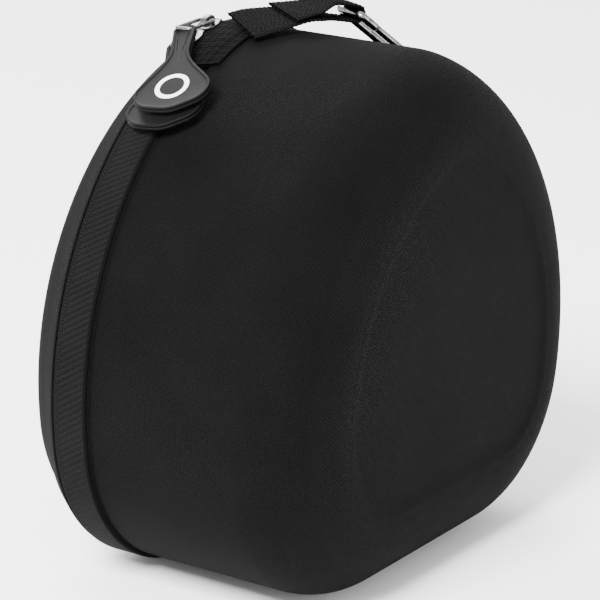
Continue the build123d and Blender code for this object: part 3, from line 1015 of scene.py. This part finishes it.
class CASE_OT_mesh_pocket(bpy.types.Operator):
    """The open mesh pocket in the lid"""
    bl_idname = "case.mesh_pocket"
    bl_label = "Mesh pocket"

    def execute(self, context):
        low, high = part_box("mesh_pocket")
        width = (high[0] - low[0]) / MM
        height = (high[2] - low[2]) / MM
        cell = 3.4
        clear_selection()
        columns, rows = int(width / cell), int(height / cell)
        bpy.ops.mesh.primitive_grid_add(x_subdivisions=columns, y_subdivisions=rows, size=2)
        net = bpy.context.object
        middle_y = (low[1] + high[1]) / 2
        inset = 14.0
        for vertex in net.data.vertices:
            z = low[2] / MM + (vertex.co.y + 1) / 2 * height
            reach = inner_half_width(z, inset)
            x = vertex.co.x * reach
            bow = 0.0012 * math.cos(vertex.co.x * math.pi / 2) * (1 - abs(vertex.co.y))
            vertex.co = (x * MM, middle_y - bow, z * MM)
        modify(net, "WIREFRAME", thickness=0.0006, use_even_offset=False)
        net.name = "pocket_net"
        net.data.name = "pocket_net"
        finish_piece(net, made("nylon_coil", nylon_material), "lid", "mesh", "mesh_pocket")
        return {"FINISHED"}


def inner_half_width(z, inset):
    """Half the width of the outline drawn in by inset, at height z."""
    best = 0.0
    for step in range(400):
        x, height = outline(step / 400, inset)
        if abs(height - z) < 1.6:
            best = max(best, abs(x))
    return best if best else inner_half_width(max(z, inset + 0.2), inset)


# ---- the stage --------------------------------------------------------------------------------
class CASE_OT_stage(bpy.types.Operator):
    """A pale floor, soft studio lights and the camera"""
    bl_idname = "case.stage"
    bl_label = "Stage"

    def execute(self, context):
        clear_selection()
        bpy.ops.mesh.primitive_plane_add(size=6, location=(0, 0, -0.0002))
        floor = bpy.context.object
        floor.name = "floor"
        floor.data.materials.append(made("paper_floor", floor_material))
        world = bpy.data.worlds.new("studio")
        world.use_nodes = True
        world.node_tree.nodes["Background"].inputs[0].default_value = (1, 1, 1, 1)
        world.node_tree.nodes["Background"].inputs[1].default_value = 1.7
        context.scene.world = world
        lamps = [
            ("key", (-1.5, -0.1, 1.5), 0.8, 210.0),
            ("fill", (0.3, -2.0, 0.7), 1.4, 18.0),
            ("back", (0.9, 1.2, 1.5), 1.2, 60.0),
        ]
        for name, place, size, power in lamps:
            bpy.ops.object.light_add(type="AREA", location=place)
            lamp = bpy.context.object
            lamp.name = name
            lamp.data.size = size
            lamp.data.energy = power
            aim = Vector((0, 0, 0.1)) - Vector(place)
            lamp.rotation_euler = aim.to_track_quat("-Z", "Y").to_euler()
        place_camera(context)
        return {"FINISHED"}


def place_camera(context):
    yaw, pitch, roll = 0.99595, 0.29539, 0.02533
    level = math.cos(pitch)
    ahead = Vector((level * math.sin(yaw), level * math.cos(yaw), -math.sin(pitch)))
    flat_right = ahead.cross(Vector((0, 0, 1))).normalized()
    flat_up = flat_right.cross(ahead)
    right = flat_right * math.cos(roll) + flat_up * math.sin(roll)
    up = right.cross(ahead)
    bpy.ops.object.camera_add(location=(-0.8373, -0.5382, 0.3974))
    camera = bpy.context.object
    camera.rotation_euler = Matrix((right, up, -ahead)).transposed().to_euler()
    camera.data.lens = 166.2
    camera.data.clip_start = 0.05
    context.scene.camera = camera


STEPS = [
    CASE_OT_front_shell, CASE_OT_lid_shell, CASE_OT_tapes, CASE_OT_coils, CASE_OT_hinge,
    CASE_OT_sliders, CASE_OT_pulls, CASE_OT_strap, CASE_OT_clip, CASE_OT_inside,
    CASE_OT_mesh_pocket, CASE_OT_stage,
]


class CASE_PT_panel(bpy.types.Panel):
    """Buttons for each piece of the case"""
    bl_label = "Headphone case"
    bl_space_type = "VIEW_3D"
    bl_region_type = "UI"
    bl_category = "Case"

    def draw(self, context):
        for name in CaseSizes.__annotations__:
            self.layout.prop(context.scene.case_sizes, name)
        for name in CaseColours.__annotations__:
            self.layout.prop(context.scene.case_colours, name)
        for step in STEPS:
            self.layout.operator(step.bl_idname)


CLASSES = [CaseSizes, CaseColours, *STEPS, CASE_PT_panel]


def register():
    for each in CLASSES:
        bpy.utils.register_class(each)
    bpy.types.Scene.case_sizes = PointerProperty(type=CaseSizes)
    bpy.types.Scene.case_colours = PointerProperty(type=CaseColours)


def unregister():
    del bpy.types.Scene.case_sizes
    del bpy.types.Scene.case_colours
    for each in reversed(CLASSES):
        bpy.utils.unregister_class(each)


def main():
    register()
    for step in STEPS:
        group, name = step.bl_idname.split(".")
        getattr(getattr(bpy.ops, group), name)()
    clear_selection()


if __name__ == "__main__":
    main()
